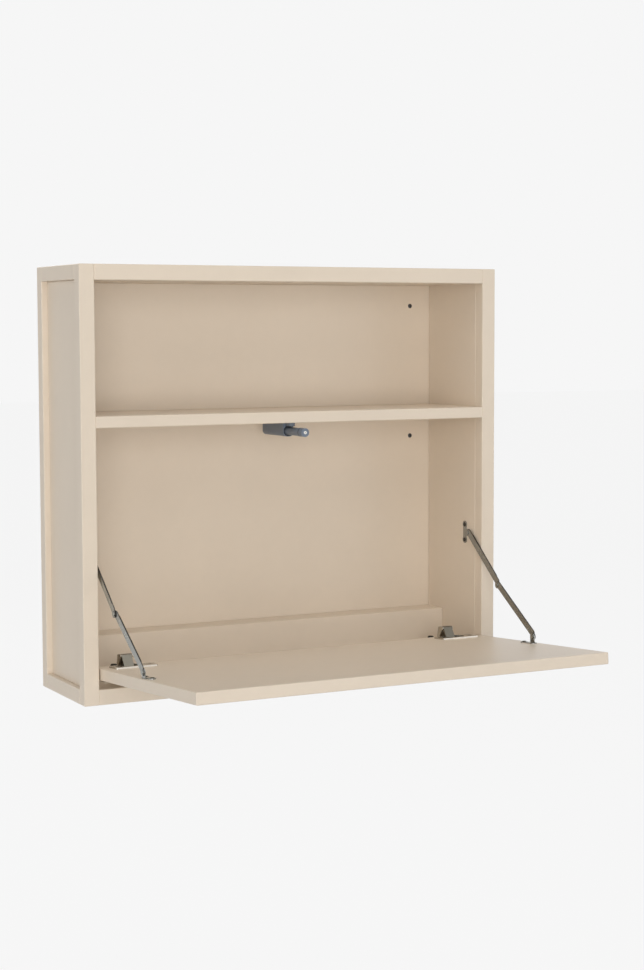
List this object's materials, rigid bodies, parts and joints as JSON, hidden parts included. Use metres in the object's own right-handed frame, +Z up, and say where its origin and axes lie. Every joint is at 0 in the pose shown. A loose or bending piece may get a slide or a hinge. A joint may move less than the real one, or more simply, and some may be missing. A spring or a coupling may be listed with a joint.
{
  "type": "fold down wall desk",
  "caption": "Shallow wall cabinet with a shelf whose front flap folds down on cup hinges and folding stays to make a writing surface.",
  "frame": {"origin": "centre of the four wall screw holes, on the back face of the cabinet", "axes": "+Z up, +Y into the wall, +X to the right as seen from the front; the flap is open at rest"},
  "size_m": [0.7, 0.5336, 0.64],
  "materials": {
    "painted_wood": "semi-gloss paint",
    "dowel_wood": "bare beech",
    "nickel": "nickel plated",
    "screws": "dark",
    "latch_plastic": "matt",
    "latch_tip": "bright"
  },
  "bodies": {
    "cabinet": {"left_front_stile": "painted_wood", "left_rear_stile": "painted_wood", "left_top_rail": "painted_wood", "left_bottom_rail": "painted_wood", "left_side_panel": "painted_wood", "right_front_stile": "painted_wood", "right_rear_stile": "painted_wood", "right_top_rail": "painted_wood", "right_bottom_rail": "painted_wood", "right_side_panel": "painted_wood", "top_board": "painted_wood", "bottom_board": "painted_wood", "shelf": "painted_wood", "back_board": "painted_wood", "ledge_front_board": "painted_wood", "ledge_top_board": "painted_wood", "carcass_dowels": "dowel_wood", "left_hinge_plate": "nickel", "left_hinge_arm": "nickel", "left_hinge_link": "nickel", "left_hinge_link_pin": "nickel", "left_stay_wall_bracket": "nickel", "right_hinge_plate": "nickel", "right_hinge_arm": "nickel", "right_hinge_link": "nickel", "right_hinge_link_pin": "nickel", "right_stay_wall_bracket": "nickel", "hinge_adjusters": "screws", "hinge_plate_screws": "screws", "stay_wall_screws": "screws", "latch_housing": "latch_plastic", "latch_screws": "screws"},
    "flap": {"flap_board": "painted_wood", "left_hinge_cup": "nickel", "left_hinge_pin": "nickel", "left_stay_flap_bracket": "nickel", "left_stay_flap_rivet": "nickel", "right_hinge_cup": "nickel", "right_hinge_pin": "nickel", "right_stay_flap_bracket": "nickel", "right_stay_flap_rivet": "nickel", "hinge_cup_screws": "screws", "stay_flap_screws": "screws"},
    "left_lower_arm": {"left_stay_lower_arm": "nickel", "left_stay_knee_rivet": "nickel"},
    "left_upper_arm": {"left_stay_upper_arm": "nickel", "left_stay_wall_rivet": "nickel"},
    "right_lower_arm": {"right_stay_lower_arm": "nickel", "right_stay_knee_rivet": "nickel"},
    "right_upper_arm": {"right_stay_upper_arm": "nickel", "right_stay_wall_rivet": "nickel"},
    "latch_plunger": {"latch_plunger": "latch_plastic", "latch_disc": "latch_tip"}
  },
  "joints": [
    {"name": "flap_hinge", "type": "hinge", "parent": "cabinet", "child": "flap", "pos_m": [0, -0.176, -0.432], "axis": [-1, 0, 0], "range_deg": [0, 86]},
    {"name": "left_stay_flap_pivot", "type": "hinge", "parent": "flap", "child": "left_lower_arm", "pos_m": [-0.3215, -0.3413, -0.4019], "axis": [1, 0, 0], "range_deg": [0, 140.37]},
    {"name": "left_stay_knee", "type": "hinge", "parent": "left_lower_arm", "child": "left_upper_arm", "pos_m": [-0.3215, -0.238, -0.3345], "axis": [-1, 0, 0], "range_deg": [0, 180.42]},
    {"name": "right_stay_flap_pivot", "type": "hinge", "parent": "flap", "child": "right_lower_arm", "pos_m": [0.3215, -0.3413, -0.4019], "axis": [1, 0, 0], "range_deg": [0, 140.37]},
    {"name": "right_stay_knee", "type": "hinge", "parent": "right_lower_arm", "child": "right_upper_arm", "pos_m": [0.3215, -0.238, -0.3345], "axis": [-1, 0, 0], "range_deg": [0, 180.42]},
    {"name": "latch_stroke", "type": "slide", "parent": "cabinet", "child": "latch_plunger", "axis": [0, 1, 0], "range_m": [0, 0.0384]}
  ],
  "couplings": [
    {"joint": "left_stay_flap_pivot", "follows": "flap_hinge", "ratio": 1.6322},
    {"joint": "left_stay_knee", "follows": "flap_hinge", "ratio": 2.0979},
    {"joint": "right_stay_flap_pivot", "follows": "flap_hinge", "ratio": 1.6322},
    {"joint": "right_stay_knee", "follows": "flap_hinge", "ratio": 2.0979},
    {"joint": "latch_stroke", "follows": "flap_hinge", "m_per_rad": 0.02558}
  ]
}
